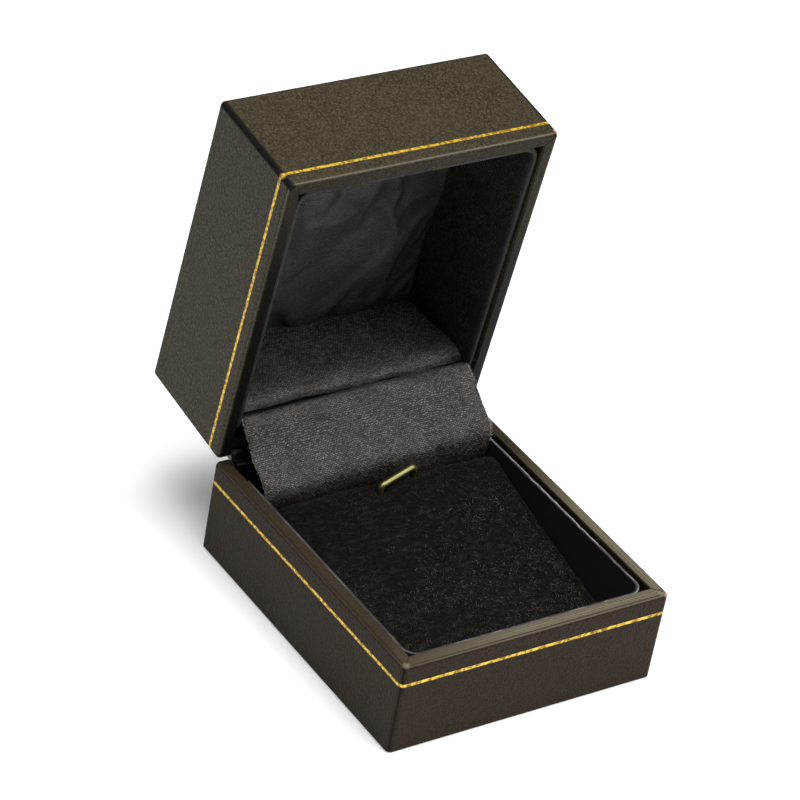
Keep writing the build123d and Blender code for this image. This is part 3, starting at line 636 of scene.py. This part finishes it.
def grid_piece(name, columns, rows, place, flat, material):
    """A grid with its corners at place(across, along), in metres, and its flat cut, in mm, in its UV map."""
    points = [place(i / columns, j / rows) for j in range(rows + 1) for i in range(columns + 1)]
    starts = [j * (columns + 1) + i for j in range(rows) for i in range(columns)]
    quads = [(k, k + 1, k + columns + 2, k + columns + 1) for k in starts]
    corners = [divmod(corner, columns + 1) for quad in quads for corner in quad]
    cuts = [(flat[0] * across / columns, flat[1] * along / rows) for along, across in corners]
    return put_in_scene(name, cloth_mesh(name, points, quads, cuts, material))


def apply_modifiers(piece):
    """Makes what the modifiers show the piece's own mesh."""
    view = bpy.context.evaluated_depsgraph_get()
    made = bpy.data.meshes.new_from_object(piece.evaluated_get(view), depsgraph=view)
    piece.modifiers.clear()
    piece.data = made


def thicken(piece, thickness_mm, side):
    """Gives cloth its thickness. side is 1 to grow along the face normals, -1 against them, 0 both ways."""
    solid = piece.modifiers.new("thickness", "SOLIDIFY")
    solid.thickness = thickness_mm * MM
    solid.offset = side
    solid.use_even_offset = True
    apply_modifiers(piece)


def between(values, share):
    """A smooth value at a share, 0 to 1, of a list of evenly spaced values, or of their vectors."""
    place = min(max(share, 0.0), 1.0) * (len(values) - 1)
    k = min(int(place), len(values) - 2)
    t = place - k
    before = values[max(k - 1, 0)]
    after = values[min(k + 2, len(values) - 1)]
    start = values[k]
    end = values[k + 1]
    bend = (2 * before - 5 * start + 4 * end - after) * (t * t)
    twist = (3 * start - before - 3 * end + after) * (t * t * t)
    return (2 * start + (end - before) * t + bend + twist) * 0.5


def line_length(line):
    """The length of a line of points, in their own unit."""
    return sum((end - start).length for start, end in zip(line, line[1:]))


def ripple(x, y, seed, scale_mm):
    """A smooth random height from about -1 to 1 that changes over a distance in millimetres."""
    return noise.noise(Vector((x / scale_mm, y / scale_mm, seed)))


print("cloth helpers ready")

# %% [markdown]
# ## The velvet pad
# A wedge of card is padded with thin foam and covered in velvet. The top is crowned, it rolls over at the
# sides, and it is drawn down where the legs of the wire bridge pass through. Rays dropped on the
# construction solid give the height of the slope, and the softness is added to that.

# %% The velvet pad
pad_low, pad_high = box_in_mm("velvet_pad")
pad_solid = BVHTree.FromObject(frame["nodes"]["velvet_pad"], bpy.context.evaluated_depsgraph_get())
pad_middle = (pad_low + pad_high) / 2
pad_half = (pad_high - pad_low) / 2
PAD_CORNER_MM = 2.2
PAD_SHY = 0.998
bridge_low, bridge_high = box_in_mm("pendant_bridge")
LEG_INSET_MM = 0.6
legs = [
    Vector((bridge_low.x + LEG_INSET_MM, bridge_low.y + LEG_INSET_MM)),
    Vector((bridge_high.x - LEG_INSET_MM, bridge_high.y - LEG_INSET_MM)),
]


def rounded(across, along, half, corner):
    """A point of a rectangle, from shares of its width and its depth, pulled in where a corner is rounded."""
    x = (2 * across - 1) * half.x
    y = (2 * along - 1) * half.y
    over_x = abs(x) - (half.x - corner)
    over_y = abs(y) - (half.y - corner)
    if over_x > 0 and over_y > 0:
        reach = max(over_x, over_y)
        length = (over_x * over_x + over_y * over_y) ** 0.5
        x = (half.x - corner + over_x * reach / length) * (1 if x > 0 else -1)
        y = (half.y - corner + over_y * reach / length) * (1 if y > 0 else -1)
    return x, y


def pad_height(x, y):
    """The height of the velvet at a place, in millimetres, with its softness."""
    start = Vector((x * MM, y * MM, 1.0))
    hit = pad_solid.ray_cast(start, Vector((0, 0, -1)))[0]
    height = hit.z / MM if hit else pad_low.z
    edge = min(pad_half.x - abs(x - pad_middle.x), pad_half.y - abs(y - pad_middle.y))
    calm = 1 - exp(-edge / 2.5)
    height += 0.22 * calm * ripple(x, y, 3.0, 9.0) + 0.08 * calm * ripple(x, y, 8.0, 2.5)
    height -= exp(-max(edge, 0.0) / 0.7)
    for leg in legs:
        away = (Vector((x, y)) - leg).length
        height -= 0.55 * exp(-(away / 1.6) ** 2)
    return height


PAD_COLUMNS = 96
PAD_ROWS = 96
SIDE_RINGS = 5


def pad_top_point(across, along):
    """A point on top of the pad, in metres."""
    x, y = rounded(across, along, pad_half, PAD_CORNER_MM)
    x = pad_middle.x + x * PAD_SHY
    y = pad_middle.y + y * PAD_SHY
    return Vector((x, y, pad_height(x, y))) * MM


pad_flat = (2 * pad_half.x, 2 * pad_half.y)
pad_cover = grid_piece("velvet_cover", PAD_COLUMNS, PAD_ROWS, pad_top_point, pad_flat, velvet)


def close_downwards(piece, columns, rows, foot, rings):
    """Draws the edge of a grid on to foot(point) in rings, and closes it there with one face."""
    mesh = piece.data
    points = [vertex.co.copy() for vertex in mesh.vertices]
    faces = [tuple(face.vertices) for face in mesh.polygons]
    width = columns + 1
    rim = list(range(width)) + [j * width + columns for j in range(1, rows + 1)]
    rim += [rows * width + i for i in range(columns - 1, -1, -1)]
    rim += [j * width for j in range(rows - 1, 0, -1)]
    above = rim
    for ring in range(1, rings + 1):
        below = []
        for corner in rim:
            below.append(len(points))
            points.append(points[corner].lerp(foot(points[corner]), ring / rings))
        count = len(rim)
        faces += [(above[n], below[n], below[(n + 1) % count], above[(n + 1) % count]) for n in range(count)]
        above = below
    faces.append(tuple(above[::-1]))
    cuts = [loop.uv.copy() for loop in mesh.uv_layers[0].data]
    piece.data = cloth_mesh(piece.name, points, faces, cuts, mesh.materials[0])


def pad_foot(point):
    """Where the side of the pad meets the floor of the base."""
    return Vector((point.x, point.y, pad_low.z * MM))


close_downwards(pad_cover, PAD_COLUMNS, PAD_ROWS, pad_foot, SIDE_RINGS)
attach(pad_cover, "base")
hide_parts("velvet_pad", "pad_foam")
print("velvet pad", [round(2 * side, 1) for side in pad_half], "mm")

# %% [markdown]
# Loose fibres of the pile lie on the velvet every way, and they are what shows that it is velvet. Each is a
# slim closed spike, long as a fibre is but thicker than a real one, so that it shows. They lie on the top
# only, and thickest towards the right front, where the pile has been rubbed.

# %% Loose fibres on the velvet
SPIKE_FACES = [(0, 1, 3), (1, 2, 3), (2, 0, 3), (2, 1, 0)]
SIN_60 = 0.87


def spikes(name, starts, material):
    """One mesh of slim closed spikes, each given by its root, its tip and its thickness in millimetres."""
    points = []
    faces = []
    for root, tip, thickness in starts:
        along = (tip - root).normalized()
        aside = along.orthogonal().normalized() * thickness * 0.5
        over = along.cross(aside)
        first = len(points)
        points += [root + aside, root - aside * 0.5 + over * SIN_60, root - aside * 0.5 - over * SIN_60, tip]
        faces += [[first + corner for corner in face] for face in SPIKE_FACES]
    mesh = bpy.data.meshes.new(name)
    mesh.from_pydata([point * MM for point in points], [], faces)
    mesh.materials.append(material)
    return put_in_scene(name, mesh)


dice = Random(11)
FIBRES = 4000
fibre_starts = []
while len(fibre_starts) < FIBRES:
    x = dice.uniform(-0.97, 0.97) * pad_half.x
    y = dice.uniform(-0.97, 0.97) * pad_half.y
    if dice.random() > 0.42 - 0.25 * y / pad_half.y + 0.25 * x / pad_half.x + 0.6 * ripple(x, y, 31.0, 7.0):
        continue
    x += pad_middle.x
    y += pad_middle.y
    z = pad_height(x, y)
    turn = dice.uniform(0, 2 * pi)
    length = dice.uniform(0.25, 1.2)
    root = Vector((x, y, z - 0.02))
    tip_x = x + length * cos(turn)
    tip_y = y + length * sin(turn)
    tip = Vector((tip_x, tip_y, pad_height(tip_x, tip_y) + dice.uniform(0.02, 0.22)))
    fibre_starts.append((root, tip, dice.uniform(0.025, 0.055)))
nap = spikes("velvet_nap", fibre_starts, lint)
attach(nap, "base")
print("loose fibres:", len(fibre_starts))

# %% [markdown]
# ## The flap over the hinge
# A strip of satin hangs from the lid, bulges over the hinge and is tucked in behind the pad. It was cut
# with a knife and never hemmed, so its sides fray. It is glued a little askew: its right side stands
# higher. Three lines, at the left side, the middle and the right side, give its fall. They are measured
# in millimetres in front of the hinge and above it, and the cloth is drawn smoothly between them.

# %% The satin flap
flap_low, flap_high = box_in_mm("hinge_flap")
flap_half = (flap_high.x - flap_low.x) / 2
HINGE_Y = hinge.y / MM
HINGE_Z = hinge.z / MM
flap_left = [
    (10.2, -6.1), (10.9, -4.0), (11.0, -1.9), (9.7, -0.2), (7.7, 1.1),
    (5.6, 2.6), (3.4, 4.7), (1.7, 6.6), (0.3, 7.5), (-0.8, 6.9),
]
flap_middle = [
    (10.3, -6.1), (11.0, -3.2), (11.0, -0.6), (9.6, 1.2), (7.6, 2.6),
    (5.5, 4.2), (3.3, 6.0), (1.6, 7.5), (0.3, 8.2), (-0.8, 7.6),
]
flap_right = [
    (10.4, -6.1), (11.1, -2.6), (11.1, 0.4), (9.9, 2.2), (8.0, 3.6),
    (6.0, 5.1), (3.9, 6.8), (2.2, 8.0), (0.7, 8.6), (-0.6, 8.0),
]
flap_lines = [
    [Vector((HINGE_Y - front, HINGE_Z + rise)) for front, rise in line]
    for line in (flap_left, flap_middle, flap_right)
]

FACING = Vector((-0.62, 0.78))
SATIN_MM = 0.25


def bulge(across, along, middle, spread):
    """A smooth bulge of height 1 at a place on the cut, which fades over its spread each way."""
    return exp(-((across - middle[0]) / spread[0]) ** 2 - ((along - middle[1]) / spread[1]) ** 2)


def flap_point(across, along):
    """A point of the flap's face, in metres, from its left side and from the tuck behind the pad."""
    left, middle, right = [between(line, along) for line in flap_lines]
    place = between([left, middle, right], across)
    x = (2 * across - 1) * flap_half
    free = sin(pi * min(1.0, along * 1.05))
    swell = 0.8 * ripple(x, along * 9, 5.0, 8.0) + 0.25 * ripple(x, along * 20, 9.0, 4.0)
    swell += 1.25 * bulge(across, along, (0.84, 0.62), (0.09, 0.16))
    swell -= bulge(across, along, (0.94, 0.72), (0.03, 0.14))
    side_curl = 0.35 * (abs(2 * across - 1) ** 12)
    out = FACING * (swell * free - side_curl * free)
    frayed = 0.12 * ripple(along * 40, across * 3, 2.0, 1.0) * (abs(2 * across - 1) ** 30)
    snip = max(0.0, (along - 0.84) / 0.16) * max(0.0, 1 - 8 * across)
    return Vector((x + frayed + snip, place.x + out.x, place.y + out.y)) * MM


FLAP_COLUMNS = 120
FLAP_ROWS = 64
flap_length = line_length(flap_lines[1])
flap = grid_piece("satin_flap", FLAP_COLUMNS, FLAP_ROWS, flap_point, (2 * flap_half, flap_length), satin)
thicken(flap, SATIN_MM, -1)
print("flap cut", round(2 * flap_half, 1), "by", round(flap_length, 1), "mm")

# %% Frayed threads along its sides
fray_starts = []
for side, threads in ((0, 110), (1, 260)):
    for _ in range(threads):
        along = dice.uniform(0.16, 0.9)
        root = flap_point(side, along) / MM
        ahead = flap_point(side, min(along + 0.03, 1.0)) / MM
        out = Vector((1 if side else -1, 0, 0))
        lean = (ahead - root).normalized() * dice.uniform(-0.9, 0.9)
        lift = Vector((0, *FACING)) * dice.uniform(-0.2, 0.5)
        ragged = side == 1 and 0.2 < along < 0.5 and dice.random() > 0.4
        reach = dice.uniform(0.15, 0.6) * (2.2 if ragged else 1.0)
        tip = root + (out * 0.6 + lean + lift).normalized() * reach
        fray_starts.append((root - out * 0.1, tip, dice.uniform(0.03, 0.06)))
fray = spikes("flap_fray", fray_starts, fray_thread)
for piece in (flap, fray):
    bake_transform(piece)
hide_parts("hinge_flap")
print("frayed threads:", len(fray_starts))

# %% [markdown]
# ## The hinge panel inside the lid
# A card with satin glued over it closes off the hinge. The satin is loose near the rim, so it stands proud
# of the card in soft swells, and it rolls under at the foot, which makes the crease above the flap. The card
# seen in that crease carries painted shade: it is given near-black tones.

# %% The hinge panel
panel_low, panel_high = shut_box("lid_hinge_satin")
panel_half = (panel_high.x - panel_low.x) / 2
LID_RIM = shut_box("lid_wrap")[0].z
PANEL_FALL = [
    (7.3, 20.6), (7.5, 17.6), (7.8, 14.6), (8.15, 11.7), (8.6, 8.8), (9.0, 6.2), (8.95, 4.3),
    (8.4, 2.9), (7.5, 2.5),
]
panel_line = [Vector((HINGE_Y - front, LID_RIM + rise)) for front, rise in PANEL_FALL]


def panel_point(across, along):
    """A point of the panel's satin, in metres, from its left and from the ceiling down to the rolled foot."""
    place = between(panel_line, along)
    x = (2 * across - 1) * panel_half
    loose = min(1.0, max(0.0, (along - 0.15) / 0.5)) * (1 - max(0.0, along - 0.8) / 0.4)
    swell = 0.6 * ripple(x, along * 8, 14.0, 5.0) + 0.22 * ripple(x, along * 14, 4.0, 2.8)
    wave = (0.2 * sin(x / 3.1) + 1.1 * ripple(x, 3.0, 27.0, 9.0)) * max(0.0, along - 0.6)
    return in_lid(x, place.x - swell * loose - 0.1 * loose, place.y + wave)


panel_length = line_length(panel_line)
panel = grid_piece("hinge_panel_satin", 120, 56, panel_point, (2 * panel_half, panel_length), satin)
thicken(panel, SATIN_MM, -1)
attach(panel, "lid")
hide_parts("lid_hinge_satin")
print("hinge panel cut", round(2 * panel_half, 1), "by", round(panel_length, 1), "mm")

# %% [markdown]
# ## The padded top of the lid
# Thin wadding under satin puffs the inside of the top. The satin was cut a little too large and glued down
# all round, so it puckers. That is best left to the cloth solver: a slack sheet, pinned at its edge and blown
# out by a light pressure, finds its own puckers. The solver is made for garments, so the sheet is simulated
# a hundred times too large, and its relief is then scaled to the real depth of the wadding.

# %% Let a slack sheet settle
TOP_COLUMNS = 90
TOP_ROWS = 90
SETTLE_FRAMES = 36
SLACK_SATIN = {
    "vertex_group_mass": "glued", "quality": 6, "mass": 0.3, "tension_stiffness": 15,
    "compression_stiffness": 15, "shear_stiffness": 5, "bending_stiffness": 0.15, "air_damping": 2,
    "shrink_min": -0.09, "use_pressure": True, "uniform_pressure_force": 0.5,
}


def settle(piece, glued):
    """Blows out a slack sheet held at its glued corners, and keeps the shape that it comes to."""
    scene = bpy.context.scene
    piece.vertex_groups.new(name="glued").add(glued, 1.0, "REPLACE")
    cloth = piece.modifiers.new("cloth", "CLOTH")
    for setting, value in SLACK_SATIN.items():
        setattr(cloth.settings, setting, value)
    cloth.settings.effector_weights.gravity = 0
    cloth.point_cache.frame_start = 1
    cloth.point_cache.frame_end = SETTLE_FRAMES
    for frame_number in range(1, SETTLE_FRAMES + 1):
        scene.frame_set(frame_number)
    apply_modifiers(piece)
    scene.frame_set(1)


print("the sheet settles in", SETTLE_FRAMES, "frames")

# %% The padded top of the lid
top_low, top_high = shut_box("lid_top_satin")
top_middle = (top_low + top_high) / 2
top_half = (top_high - top_low) / 2
TOP_CORNER_MM = 1.9
SIMULATED_SCALE = 0.1
PUCKER_DEPTH_MM = 2.0


def top_start(across, along):
    """A point of the flat sheet as it is simulated, a unit for each 10 mm, with a seeded unevenness."""
    x, y = rounded(across, along, top_half, TOP_CORNER_MM)
    side = max(1 - abs(2 * across - 1) ** 6, 0.0)
    end = max(1 - abs(2 * along - 1) ** 6, 0.0)
    lift = (side * end) ** 0.5 * (0.9 + 1.6 * ripple(x, y * 0.4, 21.0, 6.5))
    return Vector((x, y, lift)) * SIMULATED_SCALE


top_flat = (2 * top_half.x, 2 * top_half.y)
lid_padding = grid_piece("lid_top_padding", TOP_COLUMNS, TOP_ROWS, top_start, top_flat, padding_satin)
top_width = TOP_COLUMNS + 1
top_edge = [
    k for k in range(top_width * (TOP_ROWS + 1))
    if k % top_width in (0, TOP_COLUMNS) or k // top_width in (0, TOP_ROWS)
]
settle(lid_padding, top_edge)
top_peak = max(vertex.co.z for vertex in lid_padding.data.vertices)
for vertex in lid_padding.data.vertices:
    depth = 0.55 + PUCKER_DEPTH_MM * vertex.co.z / top_peak
    x, y = vertex.co.xy / SIMULATED_SCALE
    vertex.co = in_lid(top_middle.x + x, top_middle.y - y, top_high.z - depth)


def top_foot(point):
    """Where the side of the padding meets the card above it."""
    shut = lid_shut @ point / MM
    return in_lid(shut.x, shut.y, top_high.z)


close_downwards(lid_padding, TOP_COLUMNS, TOP_ROWS, top_foot, 2)
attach(lid_padding, "lid")
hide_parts("lid_top_satin", "lid_wadding")
print("padded top", [round(side, 1) for side in top_flat], "mm, relief before scaling", round(top_peak, 3))

# %% [markdown]
# ## Satin round the walls of the lid
# A band of satin is glued inside the bent card and turned over its cut edge. The path of the band is the
# U of the card: a side, a rounded corner, the front, and back again.

# %% Satin round the walls
wall_low, wall_high = shut_box("lid_wall_satin")
wall_half = (wall_high.x - wall_low.x) / 2
WALL_CORNER_MM = 2.4
WALL_SATIN_MM = 0.12
side_run = wall_high.y - wall_low.y - WALL_CORNER_MM
front_run = 2 * (wall_half - WALL_CORNER_MM)
quarter = WALL_CORNER_MM * pi / 2
band_length = 2 * side_run + 2 * quarter + front_run


def band_place(distance):
    """A point of the U at a distance along it, and the direction that faces the inside of the lid."""
    if distance > band_length / 2:
        place, inward = band_place(band_length - distance)
        return Vector((-place.x, place.y)), Vector((-inward.x, inward.y))
    if distance < side_run:
        return Vector((-wall_half, wall_high.y - distance)), Vector((1, 0))
    if distance < side_run + quarter:
        turn = (distance - side_run) / WALL_CORNER_MM
        centre = Vector((-wall_half + WALL_CORNER_MM, wall_low.y + WALL_CORNER_MM))
        inward = Vector((cos(turn), sin(turn)))
        return centre - inward * WALL_CORNER_MM, inward
    distance -= side_run + quarter
    return Vector((-wall_half + WALL_CORNER_MM + distance, wall_low.y)), Vector((0, 1))


WALL_TURN = [
    (-0.72, 1.3), (-0.74, 0.5), (-0.66, -0.16), (-0.3, -0.34), (0.08, -0.22), (0.3, 0.4), (0.32, 1.6),
]
wall_rise = wall_high.z - wall_low.z
wall_line = [Vector(point) for point in WALL_TURN] + [
    Vector((0.3, 1.6 + (wall_rise - 1.7) * step / 6)) for step in range(1, 7)]


def wall_point(across, along):
    """A point of the band, in metres, from shares of the way round the U and of the way up to the ceiling."""
    place, inward = band_place(across * band_length)
    into, rise = between(wall_line, along)
    loose = min(1.0, max(0.0, (along - 0.45) / 0.2)) * (1 - max(0.0, along - 0.9) / 0.1)
    swell = loose * (0.12 + 0.22 * ripple(across * band_length, rise, 17.0, 7.0))
    spot = place + inward * (into + swell)
    return in_lid(spot.x, spot.y, wall_low.z + rise)


wall_cut = line_length(wall_line)
walls = grid_piece("lid_wall_band", 240, 40, wall_point, (band_length, wall_cut), wall_satin)
thicken(walls, WALL_SATIN_MM, 0)
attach(walls, "lid")
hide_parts("lid_wall_satin")
print("wall band", round(band_length, 1), "by", round(wall_cut, 1), "mm")

# %% [markdown]
# ## The snap spring
# A bowed strip of spring steel is hooked in a slot of each leaf. It is the one piece of metal that bends
# as the lid moves; here it is drawn as a copy of the construction strip, in blued steel, as it stands.

# %% The snap spring
spring = put_in_scene("spring_strip", frame["nodes"]["snap_spring"].data.copy())
spring.data.materials.clear()
spring.data.materials.append(spring_steel)
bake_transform(spring)
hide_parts("snap_spring")

# %% [markdown]
# ## The camera
# The picture was taken from above the left front corner with a long lens, and the camera leaned a little
# to one side. Its place and aim were worked out from the edges of the box in the picture.

# %% The camera
CAMERA_PLACE = Vector((-0.3381, -0.4002, 0.39079))
CAMERA_AIM = Vector((-0.01334, 0.00068, 0.04695))
CAMERA_LEAN = radians(10.844)
LENS_MM = 170.124
camera = put_in_scene("camera", bpy.data.cameras.new("camera"))
look = (CAMERA_AIM - CAMERA_PLACE).to_track_quat("-Z", "Y").to_matrix().to_4x4()
camera.matrix_world = Matrix.Translation(CAMERA_PLACE) @ look @ Matrix.Rotation(CAMERA_LEAN, 4, "Z")
camera.data.lens = LENS_MM
camera.data.sensor_width = 36
camera.data.clip_start = 0.01
camera.data.clip_end = 20
bpy.context.scene.camera = camera
print("camera", round((CAMERA_AIM - CAMERA_PLACE).length / MM), "mm from its aim")

# %% [markdown]
# ## Floor and light
# A dark box on white needs broad light: a large panel overhead for the lid's front and the rims, one from the
# right that leaves the lid's right wall dark, a weaker one behind that clears the shadow on the floor, and a
# room that is dim at the horizon and pale above. The floor is a plain white light table, which thins the
# shadow.

# %% Floor, room and lamps
white_floor, shader = new_material("white_sweep")[:2]
wire(shader, {
    "Base Color": "#FAFAFA", "Roughness": 0.9, "Specular IOR Level": 0.0, "Emission Color": "#FFFFFF",
    "Emission Strength": 0.12})
bpy.ops.mesh.primitive_plane_add(size=8, location=(0, 0, -0.0002))
floor = bpy.context.object
floor.name = "floor"
floor.data.materials.append(white_floor)

room = bpy.data.worlds.new("pale_room")
bpy.context.scene.world = room
room.use_nodes = True
add = partial(add_node, room)
sky = add("SeparateXYZ", {0: add("TexCoord", {})})
glow = add("MapRange", {"Value": sky.outputs["Z"], "From Max": 0.8, "To Min": 0.1, "To Max": 0.7})
wire(room.node_tree.nodes["Background"], {"Strength": glow})


def softbox(name, place, aim, size_m, watts):
    """A square lamp of a size in metres, aimed at a point."""
    lamp = put_in_scene(name, bpy.data.lights.new(name, "AREA"))
    lamp.data.size = size_m
    lamp.data.energy = watts
    lamp.location = place
    lamp.rotation_euler = (Vector(aim) - Vector(place)).to_track_quat("-Z", "Y").to_euler()


softbox("overhead", (0.1, -0.1, 0.9), (0, 0, 0.03), 1.0, 16.4)
softbox("right_front", (0.8, -0.55, 0.5), (0, 0, 0.03), 0.5, 4.0)
softbox("back_left", (-0.6, 0.5, 0.7), (0, 0, 0), 0.6, 1.5)
bpy.context.scene.view_settings.view_transform = "Standard"
